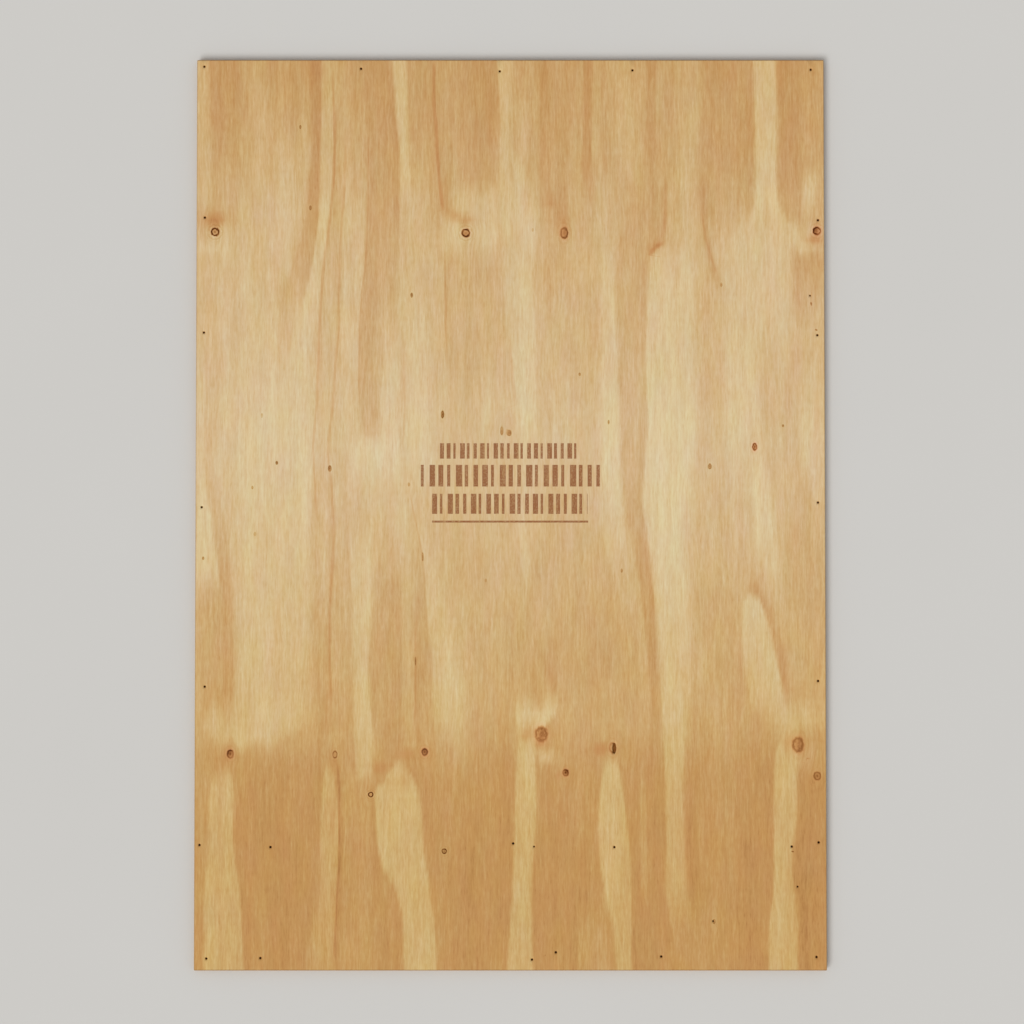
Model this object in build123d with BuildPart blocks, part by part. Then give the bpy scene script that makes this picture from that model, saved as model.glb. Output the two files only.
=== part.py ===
"""One sheet of seven-ply softwood plywood that has been used before and taken up again.

The sheet lies flat with its better face up: X runs across the face grain, Y along it and Z up.
The origin is the centre of the underside. All sizes are in millimetres.
"""
import os

from build123d import *

# The panel
sheet_width = 1219.2
sheet_length = 1764.0
sheet_thickness = 18.3
ply_count = 7
corner_radius = 1.5
arris = 0.6
glue_line_groove = 0.3

# Nail holes: full-size nails and thinner ones
nail_hole_diameter = 4.0
thin_nail_hole_diameter = 3.0

# Each nail is (distance along its row, distance in from the edge that the row follows).
# A distance below zero is taken from the far end of the row.
# Rows along the top and bottom edges run from the left, rows at the sides run from the bottom.
top_row = [(14, 13), (319, 17), (589, 22), (-372, 20), (-25, 19)]
bottom_row = [(24, 23), (128, 24), (-568, 21), (-522, 35), (-319, 27), (-20, 26)]
left_row = [(241, 10), (546, 19), (-871, 12), (-532, 15), (-308, 16)]
right_row = [(246, 15), (557, 15), (-862, 14), (-537, 14), (-313, 12)]
joist_row = [(147, 237), (615, 244), (-409, 237), (-67, 238)]
thin_nails = [(-564, 238), (-56, 161), (-219, 95)]
thin_right_nails = [(-460, 28)]

# The open knot: the loose half of a knot has dropped out of the face ply
open_knot_width = 7.0
open_knot_length = 21.0
open_knot_from_right = 409.0
open_knot_from_bottom = 427.0

# Derived sizes
ply_thickness = sheet_thickness / ply_count
glue_lines = [ply * ply_thickness for ply in range(1, ply_count)]
open_knot_place = (
    sheet_width / 2 - open_knot_from_right,
    open_knot_from_bottom - sheet_length / 2,
)


def along(distance, span):
    """A distance from the near end of a span, or below zero from its far end, about the centre."""
    return distance - span / 2 if distance > 0 else distance + span / 2


def row_at_bottom(row):
    """Places of a row that follows the bottom edge."""
    return [(along(x, sheet_width), inset - sheet_length / 2) for x, inset in row]


def row_at_top(row):
    """Places of a row that follows the top edge."""
    return [(along(x, sheet_width), sheet_length / 2 - inset) for x, inset in row]


def row_at_left(row):
    """Places of a row that follows the left edge."""
    return [(inset - sheet_width / 2, along(y, sheet_length)) for y, inset in row]


def row_at_right(row):
    """Places of a row that follows the right edge."""
    return [(sheet_width / 2 - inset, along(y, sheet_length)) for y, inset in row]


nail_places = (
    row_at_top(top_row)
    + row_at_bottom(bottom_row)
    + row_at_left(left_row)
    + row_at_right(right_row)
    + row_at_bottom(joist_row)
)
thin_nail_places = row_at_bottom(thin_nails) + row_at_right(thin_right_nails)

# The outline, which is also the path that the glue lines follow round the sawn edges
with BuildSketch() as outline:
    RectangleRounded(sheet_width, sheet_length, corner_radius)

with BuildPart() as plywood_sheet:
    # The pressed and trimmed panel, with its arrises worn
    add(outline.sketch)
    extrude(amount=sheet_thickness)
    faces_up_and_down = plywood_sheet.faces().filter_by(Axis.Z)
    chamfer(faces_up_and_down.edges(), length=arris)

    # A fine groove round all four sawn edges at each glue line
    edge_path = outline.sketch.face().outer_wire()
    with BuildSketch(Plane(edge_path @ 0, x_dir=(0, 0, 1), z_dir=edge_path % 0)) as groove_section:
        with Locations([(height, 0) for height in glue_lines]):
            RegularPolygon(glue_line_groove, 4)
    sweep(sections=groove_section.sketch, path=edge_path, mode=Mode.SUBTRACT)

    # Nail holes through the sheet
    with Locations(Plane.XY.offset(sheet_thickness)):
        with Locations(nail_places):
            Hole(nail_hole_diameter / 2)
        with Locations(thin_nail_places):
            Hole(thin_nail_hole_diameter / 2)

    # The open knot, one ply deep
    with BuildSketch(Plane.XY.offset(sheet_thickness)):
        with Locations(open_knot_place):
            Ellipse(open_knot_width / 2, open_knot_length / 2)
    extrude(amount=-ply_thickness, mode=Mode.SUBTRACT)

plywood_sheet.part.label = "plywood_sheet"

os.makedirs("parts", exist_ok=True)
export_step(plywood_sheet.part, "parts/plywood_sheet.step")
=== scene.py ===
import math

import bpy
import numpy as np
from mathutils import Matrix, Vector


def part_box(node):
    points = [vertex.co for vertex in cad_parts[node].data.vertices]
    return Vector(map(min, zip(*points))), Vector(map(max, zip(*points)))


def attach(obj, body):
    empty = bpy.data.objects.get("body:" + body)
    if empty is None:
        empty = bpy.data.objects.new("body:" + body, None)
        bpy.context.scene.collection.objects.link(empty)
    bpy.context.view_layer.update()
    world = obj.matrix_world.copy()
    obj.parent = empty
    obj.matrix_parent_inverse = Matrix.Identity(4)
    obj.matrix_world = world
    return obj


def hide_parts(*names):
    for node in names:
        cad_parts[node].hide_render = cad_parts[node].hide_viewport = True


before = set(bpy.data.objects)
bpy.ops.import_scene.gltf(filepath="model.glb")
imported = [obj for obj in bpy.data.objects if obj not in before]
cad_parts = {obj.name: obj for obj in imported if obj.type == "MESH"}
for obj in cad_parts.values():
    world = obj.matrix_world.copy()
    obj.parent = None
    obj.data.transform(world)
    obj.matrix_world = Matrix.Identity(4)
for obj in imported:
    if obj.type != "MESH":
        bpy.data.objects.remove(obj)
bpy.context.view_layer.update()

# One sheet of seven-ply softwood plywood, used before, lying flat with its better face up.
# X runs across the face grain, Y along it, Z up out of the face. Lengths are metres, and mm in the tables.

# Sizes of the sheet. Its high corner is half its width and length out, and its thickness up
MM = 0.001
half_width, half_length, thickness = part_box("plywood_sheet")[1]
width_mm = 2 * half_width / MM
length_mm = 2 * half_length / MM
ply_count = 7
ply = thickness / ply_count
corner_radius = 1.5 * MM
arris = 0.6 * MM
groove = 0.3 * MM

# Nail holes, as in the part: distance along the row, or below zero from its far end, and in from the edge
nail_radius = 2.0
thin_nail_radius = 1.5
top_row = [(14, 13), (319, 17), (589, 22), (-372, 20), (-25, 19)]
bottom_row = [(24, 23), (128, 24), (-568, 21), (-522, 35), (-319, 27), (-20, 26)]
left_row = [(241, 10), (546, 19), (-871, 12), (-532, 15), (-308, 16)]
right_row = [(246, 15), (557, 15), (-862, 14), (-537, 14), (-313, 12)]
joist_row = [(147, 237), (615, 244), (-409, 237), (-67, 238)]
thin_nails = [(-564, 238), (-56, 161), (-219, 95)]
thin_right_nails = [(-460, 28)]

# The open knot: the loose half of a knot has dropped out of the face ply
open_knot_half_width = 3.5
open_knot_half_length = 10.5
open_knot_from_right = 409.0
open_knot_from_bottom = 427.0

# The face veneer's figure. Places are mm across from the left edge and mm down from the top edge.
# The ground tone, from 0 to 255, at heights down the sheet: partly the veneer's own tone and partly painted
# light, paler at mid-height and darker towards the top and the foot
ground_tones_with_painted_light = [
    (0, 168), (200, 174), (390, 184), (585, 187), (760, 192), (935, 185), (1170, 175), (1245, 174),
    (1310, 168), (1370, 161), (1500, 156), (1764, 155),
]

# How yellow the wood is, against its usual colour, at heights down the sheet
ground_yellow = [(0, 0), (400, -1.2), (900, -1.5), (1100, 0.8), (1400, 2.5), (1764, 2.8)]

# Bands of earlywood and latewood, laid one over the other: tone against the ground, softness of the left,
# right, top and foot sides, [(down, left side, right side)]
bands = [
    (7, 8, 8, 8, 60, [(0, 0, 21), (275, 0, 20)]),
    (-2, 6, 16, 8, 78, [(0, 23, 101), (175, 27, 103), (305, 30, 75)]),
    (-8, 8, 19, 8, 116, [(0, 27, 89), (175, 29, 84)]),
    (-3, 10, 10, 8, 78, [(0, 165, 200), (195, 168, 185)]),
    (-12, 10, 3, 8, 60, [(0, 218, 241), (80, 222, 243), (175, 222, 241), (275, 214, 238), (340, 203, 234),
        (395, 186, 227), (450, 166, 211), (515, 159, 199)]),
    (8, 3, 4, 8, 116, [(0, 243, 260), (175, 243, 265), (275, 240, 261), (340, 232, 253), (395, 224, 246),
        (470, 209, 240), (565, 201, 236)]),
    (-4, 8, 8, 8, 40, [(0, 295, 332), (70, 298, 329)]),
    (-7, 6, 4, 8, 16, [(0, 321, 377), (80, 325, 385), (175, 333, 393), (275, 333, 395), (330, 331, 393),
        (410, 327, 389), (470, 320, 386), (545, 316, 380), (605, 318, 366), (645, 316, 359),
        (735, 318, 357)]),
    (-12, 6, 16, 60, 60, [(330, 331, 356), (470, 320, 345), (545, 316, 341), (720, 318, 353)]),
    (14, 4, 4, 8, 97, [(0, 381, 410), (80, 387, 410), (175, 393, 412), (315, 395, 418)]),
    (-2, 6, 8, 8, 116, [(0, 412, 461), (115, 412, 465), (195, 414, 473), (330, 442, 477)]),
    (-2, 4, 6, 8, 43, [(0, 465, 587), (115, 469, 587), (195, 477, 587), (265, 484, 570)]),
    (-7, 12, 6, 8, 48, [(0, 515, 587), (115, 519, 587), (255, 519, 574)]),
    (8, 23, 23, 31, 39, [(255, 516, 586), (305, 484, 589), (360, 477, 599), (395, 488, 589)]),
    (-4, 10, 10, 39, 116, [(370, 485, 589), (470, 481, 589), (565, 485, 589), (720, 487, 589)]),
    (12, 4, 12, 8, 60, [(0, 587, 613), (175, 589, 617), (275, 589, 659), (370, 599, 663)]),
    (7, 10, 8, 60, 78, [(350, 593, 648), (470, 601, 655), (565, 605, 659), (665, 619, 661),
        (740, 628, 659)]),
    (-4, 4, 12, 8, 48, [(0, 667, 745), (115, 667, 729), (275, 669, 722), (330, 667, 718)]),
    (-8, 4, 6, 8, 60, [(0, 665, 681), (275, 667, 681)]),
    (-10, 4, 4, 8, 43, [(0, 751, 768), (115, 751, 768), (255, 749, 768)]),
    (4, 4, 6, 8, 97, [(0, 770, 784), (175, 770, 786), (275, 772, 807)]),
    (-5, 4, 6, 39, 39, [(115, 788, 799), (255, 790, 799)]),
    (3, 8, 8, 8, 97, [(0, 796, 862), (235, 799, 861)]),
    (-8, 6, 8, 8, 78, [(0, 874, 893), (255, 871, 893)]),
    (-8, 12, 4, 60, 116, [(255, 819, 881), (370, 817, 881), (400, 815, 877), (565, 812, 875),
        (720, 814, 874)]),
    (2, 10, 10, 8, 78, [(0, 893, 979), (235, 893, 972)]),
    (5, 8, 8, 39, 39, [(175, 932, 959), (275, 924, 959)]),
    (-7, 6, 4, 39, 12, [(255, 883, 910), (340, 883, 908), (370, 881, 896)]),
    (9, 3, 16, 16, 155, [(375, 885, 958), (470, 875, 962), (565, 873, 966), (720, 876, 969),
        (820, 870, 957)]),
    (-5, 10, 4, 8, 60, [(0, 990, 1082), (115, 986, 1081), (275, 982, 1079), (320, 986, 1075)]),
    (-12, 6, 6, 60, 48, [(255, 978, 990), (350, 986, 997), (395, 995, 1009), (455, 1014, 1028)]),
    (14, 3, 3, 8, 60, [(0, 1083, 1127), (175, 1086, 1126), (265, 1087, 1128), (305, 1083, 1145),
        (330, 1077, 1168)]),
    (6, 23, 27, 39, 116, [(305, 1046, 1163), (390, 1032, 1172), (565, 1032, 1152), (720, 1031, 1084)]),
    (-4, 4, 6, 8, 23, [(0, 1128, 1220), (175, 1130, 1219), (245, 1128, 1188), (285, 1130, 1178),
        (330, 1160, 1184)]),
    (-12, 4, 12, 8, 60, [(0, 1130, 1173), (175, 1132, 1173), (265, 1132, 1168)]),
    (10, 6, 10, 19, 16, [(225, 1178, 1211), (305, 1176, 1196)]),
    (8, 16, 12, 16, 16, [(330, 1162, 1219), (370, 1143, 1219)]),
    (-12, 10, 12, 19, 39, [(375, 1156, 1219), (490, 1156, 1201)]),
    # The middle of the sheet
    (-4, 8, 8, 78, 78, [(525, 17, 50), (780, 18, 51)]),
    (7, 23, 23, 116, 116, [(470, 77, 225), (855, 86, 225), (1320, 80, 203)]),
    (3, 6, 10, 60, 39, [(525, 364, 397), (740, 363, 398)]),
    (7, 10, 10, 16, 39, [(740, 295, 400), (820, 295, 396)]),
    (6, 6, 12, 78, 60, [(470, 403, 442), (565, 407, 446), (760, 407, 454), (820, 419, 454)]),
    (11, 4, 3, 116, 39, [(800, 3, 18), (840, 3, 20), (875, 3, 28), (955, 3, 38), (1030, 3, 46)]),
    (-8, 3, 6, 78, 60, [(855, 30, 51), (955, 40, 63), (1030, 48, 71), (1130, 54, 73), (1280, 53, 74)]),
    (-3, 6, 4, 39, 39, [(1030, 2, 46), (1130, 2, 52), (1280, 2, 53)]),
    (-5, 8, 4, 116, 60, [(820, 233, 262), (895, 235, 268), (975, 233, 268), (1090, 230, 265),
        (1245, 238, 265), (1320, 242, 267)]),
    (12, 6, 6, 60, 19, [(935, 299, 342), (1050, 303, 340), (1245, 307, 336), (1320, 308, 346),
        (1395, 312, 343)]),
    (-8, 6, 8, 78, 39, [(945, 357, 388), (1050, 346, 396), (1145, 340, 400), (1245, 342, 400),
        (1310, 354, 400)]),
    (-7, 6, 4, 60, 60, [(1010, 431, 444), (1070, 427, 450), (1130, 423, 456), (1205, 423, 458),
        (1280, 425, 462)]),
    (10, 4, 19, 78, 78, [(975, 442, 473), (1050, 448, 483), (1130, 458, 497), (1245, 462, 524),
        (1340, 466, 524)]),
    (10, 6, 4, 39, 60, [(895, 620, 636), (975, 632, 648), (1050, 642, 657)]),
    (-4, 12, 8, 60, 78, [(740, 667, 783), (895, 677, 783), (1090, 638, 822), (1245, 705, 783)]),
    (8, 8, 6, 97, 78, [(390, 784, 811), (565, 785, 816), (720, 787, 820), (820, 789, 820),
        (935, 797, 833)]),
    (-11, 4, 3, 78, 116, [(665, 824, 872), (720, 826, 872), (800, 824, 868), (855, 831, 866),
        (935, 843, 874), (995, 855, 882), (1050, 864, 889), (1130, 872, 891), (1225, 879, 899)]),
    (11, 3, 10, 78, 116, [(800, 870, 957), (855, 868, 950), (935, 876, 946), (995, 884, 953),
        (1050, 891, 957), (1130, 895, 957), (1225, 901, 957), (1320, 904, 945)]),
    (-3, 10, 8, 116, 116, [(625, 977, 1020), (855, 977, 1015)]),
    (-6, 12, 19, 116, 78, [(565, 1088, 1171), (720, 1093, 1171), (975, 1141, 1216), (1090, 1141, 1216)]),
    (-3, 12, 10, 97, 60, [(1030, 965, 1058), (1245, 957, 1049)]),
    (8, 6, 8, 60, 39, [(800, 1078, 1105), (855, 1079, 1112), (935, 1083, 1124), (1010, 1102, 1133)]),
    # The flame in the right half, and the pale wood round the low knots
    (12, 6, 3, 6, 116, [(1043, 1067, 1090), (1051, 1058, 1097), (1062, 1056, 1102), (1095, 1056, 1113),
        (1130, 1057, 1120), (1165, 1059, 1127), (1225, 1068, 1134), (1280, 1088, 1142)]),
    (-9, 4, 12, 16, 39, [(1027, 1069, 1090), (1043, 1085, 1104), (1062, 1097, 1113), (1090, 1109, 1123),
        (1130, 1120, 1136), (1165, 1128, 1144), (1225, 1139, 1154)]),
    (8, 16, 16, 31, 19, [(1255, 1134, 1215), (1310, 1140, 1215)]),
    (3, 8, 6, 78, 60, [(625, 1171, 1218), (740, 1180, 1217), (830, 1196, 1217)]),
    (13, 19, 27, 27, 16, [(1245, 37, 203), (1290, 20, 203), (1330, 34, 155)]),
    # The foot of the sheet
    (-3, 4, 8, 31, 6, [(1345, 5, 246), (1415, 20, 246), (1570, 23, 246), (1764, 20, 247)]),
    (2, 4, 6, 39, 6, [(1370, 1, 34), (1535, 1, 27), (1764, 0, 20)]),
    (16, 5, 3, 27, 6, [(1385, 39, 73), (1400, 34, 75), (1535, 26, 77), (1575, 22, 83), (1620, 20, 88),
        (1685, 18, 93), (1764, 18, 97)]),
    (11, 4, 3, 16, 116, [(1370, 254, 264), (1435, 245, 275), (1535, 243, 277), (1590, 244, 275),
        (1665, 241, 272)]),
    (7, 16, 3, 78, 6, [(1630, 227, 277), (1705, 220, 274), (1764, 216, 270)]),
    (-7, 3, 5, 19, 60, [(1350, 262, 272), (1390, 273, 283), (1435, 277, 286), (1535, 278, 287),
        (1630, 274, 283), (1705, 271, 281)]),
    (3, 10, 6, 39, 6, [(1415, 289, 343), (1535, 289, 343), (1764, 282, 347)]),
    (-4, 4, 4, 39, 6, [(1435, 341, 352), (1535, 341, 358), (1610, 347, 370), (1665, 351, 403),
        (1764, 355, 405)]),
    (18, 5, 4, 12, 6, [(1368, 388, 408), (1388, 373, 422), (1404, 356, 429), (1459, 351, 437),
        (1535, 356, 442), (1575, 368, 451), (1610, 386, 456), (1650, 397, 462), (1764, 404, 467)]),
    (-2, 4, 4, 78, 6, [(1330, 451, 617), (1435, 441, 617), (1535, 447, 615), (1590, 457, 615),
        (1665, 468, 609), (1764, 472, 601)]),
    (18, 5, 4, 26, 6, [(1248, 622, 702), (1278, 620, 694), (1296, 622, 672), (1320, 624, 661),
        (1360, 623, 658), (1415, 618, 659), (1495, 617, 659), (1570, 615, 653), (1650, 611, 651),
        (1764, 603, 651)]),
    (-2, 4, 6, 60, 6, [(1380, 661, 783), (1535, 659, 779), (1630, 655, 786), (1764, 653, 744)]),
    (6, 6, 8, 39, 6, [(1675, 740, 790), (1764, 740, 805)]),
    (17, 4, 4, 16, 6, [(1365, 790, 817), (1435, 782, 829), (1495, 779, 836), (1550, 782, 842),
        (1630, 796, 843), (1685, 808, 843), (1764, 814, 843)]),
    (-3, 4, 4, 60, 6, [(1320, 844, 904), (1435, 840, 908), (1590, 844, 908), (1685, 844, 917),
        (1764, 844, 925)]),
    (8, 4, 4, 60, 60, [(1435, 860, 871), (1535, 861, 873), (1630, 861, 875)]),
    (13, 4, 5, 78, 78, [(1225, 901, 953), (1360, 908, 945), (1535, 910, 946), (1610, 911, 954),
        (1685, 923, 967)]),
    (2, 8, 12, 60, 6, [(1665, 925, 979), (1764, 928, 982)]),
    (-5, 4, 10, 60, 60, [(1380, 949, 976), (1535, 950, 975), (1630, 960, 983)]),
    (-5, 6, 4, 78, 6, [(1310, 1045, 1120), (1435, 1045, 1120), (1570, 1044, 1118), (1665, 1046, 1112),
        (1764, 1046, 1108)]),
    (16, 4, 3, 39, 6, [(1290, 1142, 1169), (1340, 1126, 1165), (1400, 1120, 1163), (1480, 1119, 1161),
        (1515, 1118, 1155), (1550, 1118, 1152), (1610, 1116, 1155), (1665, 1110, 1164),
        (1764, 1108, 1165)]),
    (-5, 3, 6, 39, 6, [(1380, 1167, 1219), (1515, 1164, 1220), (1570, 1154, 1220), (1665, 1166, 1220),
        (1764, 1167, 1221)]),
]
side_softness = 0.75
band_contrast = 1.12

# Dark growth lines: depth of tone, half width, length over which the ends fade, [(down, across)]
growth_lines = [
    (13, 3.7, 30, [(0, 262), (80, 266), (175, 268), (250, 265), (300, 260), (350, 254), (390, 248),
        (450, 243), (505, 240), (560, 238), (620, 236), (700, 232), (755, 228), (795, 230), (910, 234)]),
    (11, 3.4, 50, [(120, 290), (250, 287), (310, 283), (370, 279), (445, 277), (545, 275), (580, 271),
        (660, 267), (720, 260), (765, 256), (815, 262), (870, 266), (930, 268), (1025, 262), (1140, 260),
        (1280, 264)]),
    (17, 4.4, 10, [(0, 461), (80, 461), (135, 465), (195, 468), (240, 472), (270, 475), (300, 480)]),
    (9, 1.6, 4, [(212, 519), (226, 520), (240, 523)]),
    (6, 1.5, 14, [(350, 522), (410, 521)]),
    (9, 5, 14, [(225, 911), (275, 911), (312, 910), (338, 908), (356, 903)]),
    (16, 5.6, 6, [(338, 909), (350, 906), (358, 901), (364, 895), (371, 887), (378, 882), (392, 878)]),
    (7, 2.6, 25, [(270, 978), (350, 990), (390, 1001), (445, 1021)]),
    (8, 2.4, 30, [(560, 402), (700, 404), (775, 398)]),
    (12, 4.4, 20, [(520, 606), (580, 611), (640, 617), (690, 620)]),
    (10, 2.8, 16, [(1352, 270), (1376, 276), (1405, 278), (1459, 279), (1556, 279), (1620, 276),
        (1685, 273), (1764, 268)]),
    (10, 2.4, 30, [(815, 410), (885, 423), (930, 433), (970, 439), (1010, 441)]),
    (9, 2.6, 30, [(350, 482), (430, 483), (520, 484), (620, 487)]),
    (10, 2, 30, [(1080, 427), (1160, 426), (1240, 426), (1315, 423)]),
    (8, 2.2, 30, [(130, 333), (250, 333), (330, 331), (410, 327), (470, 320), (560, 316), (700, 317)]),
    (6, 6, 20, [(1030, 1088), (1045, 1094), (1100, 1110), (1160, 1125), (1215, 1139), (1250, 1146)]),
    (5, 3, 18, [(1045, 1058), (1090, 1055), (1150, 1054), (1210, 1057), (1260, 1062)]),
]

# Softly darker and paler patches: (across, down, half width, half height, tone)
soft_patches = [
    (165, 210, 55, 90, 7), (150, 330, 50, 80, 8), (120, 130, 28, 60, 4), (32, 312, 24, 14, -16),
    (40, 368, 22, 12, 7), (484, 262, 10, 34, -8), (494, 294, 14, 13, -12), (560, 640, 22, 90, 7),
    (548, 500, 14, 40, 5), (652, 285, 18, 28, -8), (712, 312, 16, 12, -9), (895, 361, 9, 7, -12),
    (905, 350, 8, 9, -9), (911, 326, 6, 20, -5), (605, 715, 16, 30, -7), (325, 980, 14, 80, -9),
    (525, 1110, 26, 80, 7), (150, 1120, 60, 110, 6), (245, 1010, 14, 60, 5), (60, 1265, 26, 28, -10),
    (657, 1235, 14, 45, -8), (668, 1312, 22, 18, -9), (682, 1352, 18, 14, 7), (1157, 1330, 24, 26, -9),
    (322, 1392, 20, 14, 9), (512, 1345, 18, 50, 8), (838, 1290, 18, 24, 6), (846, 1398, 16, 24, 5),
    (1185, 455, 16, 34, 7), (8, 368, 16, 16, 8), (634, 125, 16, 60, 7), (975, 110, 10, 60, 4),
    (852, 735, 7, 50, 6), (1030, 610, 20, 60, 5), (20, 480, 14, 50, -4), (415, 1350, 14, 14, -8),
    (265, 1370, 8, 20, -6), (1195, 356, 18, 12, -12), (38, 306, 26, 16, -12), (505, 307, 17, 10, -17),
    (526, 314, 17, 9, -20), (512, 252, 14, 22, 5), (706, 300, 18, 20, -7), (716, 344, 18, 22, -6),
    (726, 362, 8, 16, 6), (1188, 298, 16, 14, -6), (1207, 326, 10, 18, -8), (1196, 372, 14, 10, 8),
    (345, 440, 12, 70, -6), (308, 300, 11, 110, 7), (312, 430, 9, 60, 6), (430, 300, 10, 160, 5),
    (165, 540, 34, 70, -6), (170, 450, 16, 50, -3), (484, 440, 10, 60, -6), (752, 500, 14, 50, -3),
    (766, 560, 12, 80, -6), (860, 640, 9, 34, 7), (1204, 700, 8, 40, -7), (340, 280, 6, 100, -4),
    (886, 1000, 6, 50, -4), (1081, 1026, 11, 20, -12), (690, 1050, 14, 80, 6), (662, 1250, 24, 12, -7),
    (664, 1185, 13, 46, -6), (646, 1302, 12, 20, -9), (686, 1358, 14, 12, 5), (982, 1170, 8, 50, 6),
    (945, 1205, 9, 34, -6), (1072, 1205, 14, 34, -6), (1146, 1322, 13, 22, -9), (1188, 1352, 12, 30, 9),
    (1146, 1262, 14, 14, 6), (1184, 1275, 10, 18, 6), (808, 1330, 16, 30, -5), (846, 1430, 7, 90, 6),
    (852, 1560, 6, 70, 4), (640, 1450, 10, 90, 6), (300, 1240, 9, 60, -6), (222, 1262, 12, 36, 6),
    (267, 1500, 7, 70, -7), (412, 1382, 15, 24, -11), (394, 1322, 14, 18, -5), (8, 690, 10, 60, 6),
    (520, 1430, 50, 90, 3), (45, 1236, 24, 24, -6), (112, 1318, 36, 18, 6), (284, 590, 8, 140, 5),
    (240, 640, 6, 110, -4), (252, 960, 9, 130, 4), (290, 230, 7, 70, 3), (1120, 560, 14, 70, -4),
    (1110, 480, 10, 60, -3), (530, 960, 40, 60, -3), (560, 1120, 20, 40, 3), (634, 1311, 9, 7, -9),
    (783, 1340, 12, 12, -6), (522, 325, 10, 6, -6), (884, 370, 9, 7, -10), (36, 317, 22, 9, -12),
    (790, 1332, 6, 8, -9), (776, 1335, 14, 10, -6), (668, 1331, 20, 6, -7), (690, 1298, 6, 22, -5),
    (690, 1205, 14, 32, -7), (640, 1312, 12, 15, -12), (676, 1355, 20, 12, 10), (384, 1655, 9, 34, 7),
    (925, 400, 28, 34, -4), (690, 278, 15, 12, -12), (700, 328, 8, 14, -8), (404, 270, 7, 70, -6),
    (641, 262, 10, 46, -9), (308, 590, 10, 46, 6), (1036, 715, 16, 56, 6), (664, 1070, 22, 60, 5),
    (975, 1178, 8, 46, 8), (948, 1248, 7, 34, -7), (451, 1235, 9, 14, 6), (397, 1366, 12, 8, 8),
    (406, 1406, 13, 24, -8), (1173, 1366, 9, 16, 10), (1178, 1268, 8, 24, 6), (829, 1366, 8, 20, 6),
    (1202, 350, 17, 9, -24), (1179, 366, 16, 9, 8), (372, 1402, 8, 12, -7), (590, 90, 4, 90, -4),
    (356, 1376, 10, 7, -9), (748, 640, 18, 70, -4), (300, 545, 12, 36, 6), (96, 150, 6, 110, -4),
    (124, 170, 12, 110, 4), (219, 195, 6, 30, 5), (240, 130, 5, 60, -4), (186, 915, 14, 50, 5),
    (253, 890, 7, 60, 5), (291, 680, 7, 50, 5), (1143, 440, 10, 56, -5), (1204, 698, 8, 38, -5),
    (1139, 890, 10, 44, 5), (1132, 1272, 9, 18, 6), (1178, 1262, 8, 20, 5), (1206, 1308, 9, 20, -7),
    (1145, 1328, 9, 12, -6), (1199, 1401, 10, 8, -6), (935, 1298, 6, 46, -5), (717, 1243, 12, 18, -6),
    (289, 340, 9, 300, 7), (211, 900, 9, 140, 8), (211, 190, 8, 90, 6), (56, 490, 12, 320, 6),
    (850, 650, 32, 130, 6), (172, 120, 11, 260, 6), (792, 271, 11, 60, 7), (637, 155, 10, 60, 5),
    (405, 890, 12, 70, 6), (444, 930, 9, 60, 5), (327, 1356, 10, 25, 7), (95, 1395, 11, 26, 7),
    (690, 410, 52, 50, -7), (1063, 1200, 15, 50, -5), (250, 950, 8, 130, 5), (17, 1705, 10, 60, -5),
]

# Knots: across, down, half width, half height, how dark the rim is, how brown the core, how dark the pith,
# how much darker it grows to the right and downwards, and how much paler the wood round it is
knots = [
    (36, 336, 8, 8, 0.92, 0.42, 0.6, -0.15, 0, 1), (523, 338, 8, 8.2, 0.82, 0.85, 0.1, -0.1, 0.1, 0),
    (714, 338, 7.8, 11.5, 0.43, 0.82, 0.05, 0.4, 0.1, 0),
    (1205, 334, 8, 8.2, 0.52, 0.98, 0.15, -0.7, -0.2, 5),
    (1083, 754, 4.8, 7.8, 0.34, 1.26, 0.35, 0, -0.1, 0),
    (69, 1348, 6.6, 8.8, 0.34, 0.8, 0.5, -0.5, -0.6, 0), (271, 1349, 4.5, 7.5, 0.34, 0.25, 0, 0.1, 0, 0),
    (340, 1426, 5, 5, 0.86, 0.15, 0, 0, 0, 3), (444, 1344, 6.4, 7.4, 0.42, 1.3, 0.5, 0, -0.1, 4),
    (669, 1310, 12.5, 16, 0.15, 0.74, 0.02, 0.05, -0.15, 0),
    (716, 1384, 6.4, 7.5, 0.17, 0.92, 0.56, 0.5, -0.35, 4),
    (807, 1336, 6.6, 10.5, 0.34, 0.5, 0.1, 0.85, 0.15, 3),
    (1165, 1330, 11.4, 15.4, 0.17, 0.62, 0.04, 0, 0.05, 1),
    (1202, 1390, 7.6, 8.6, 0.22, 0.38, 0.42, -0.1, 0, 3),
]
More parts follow.
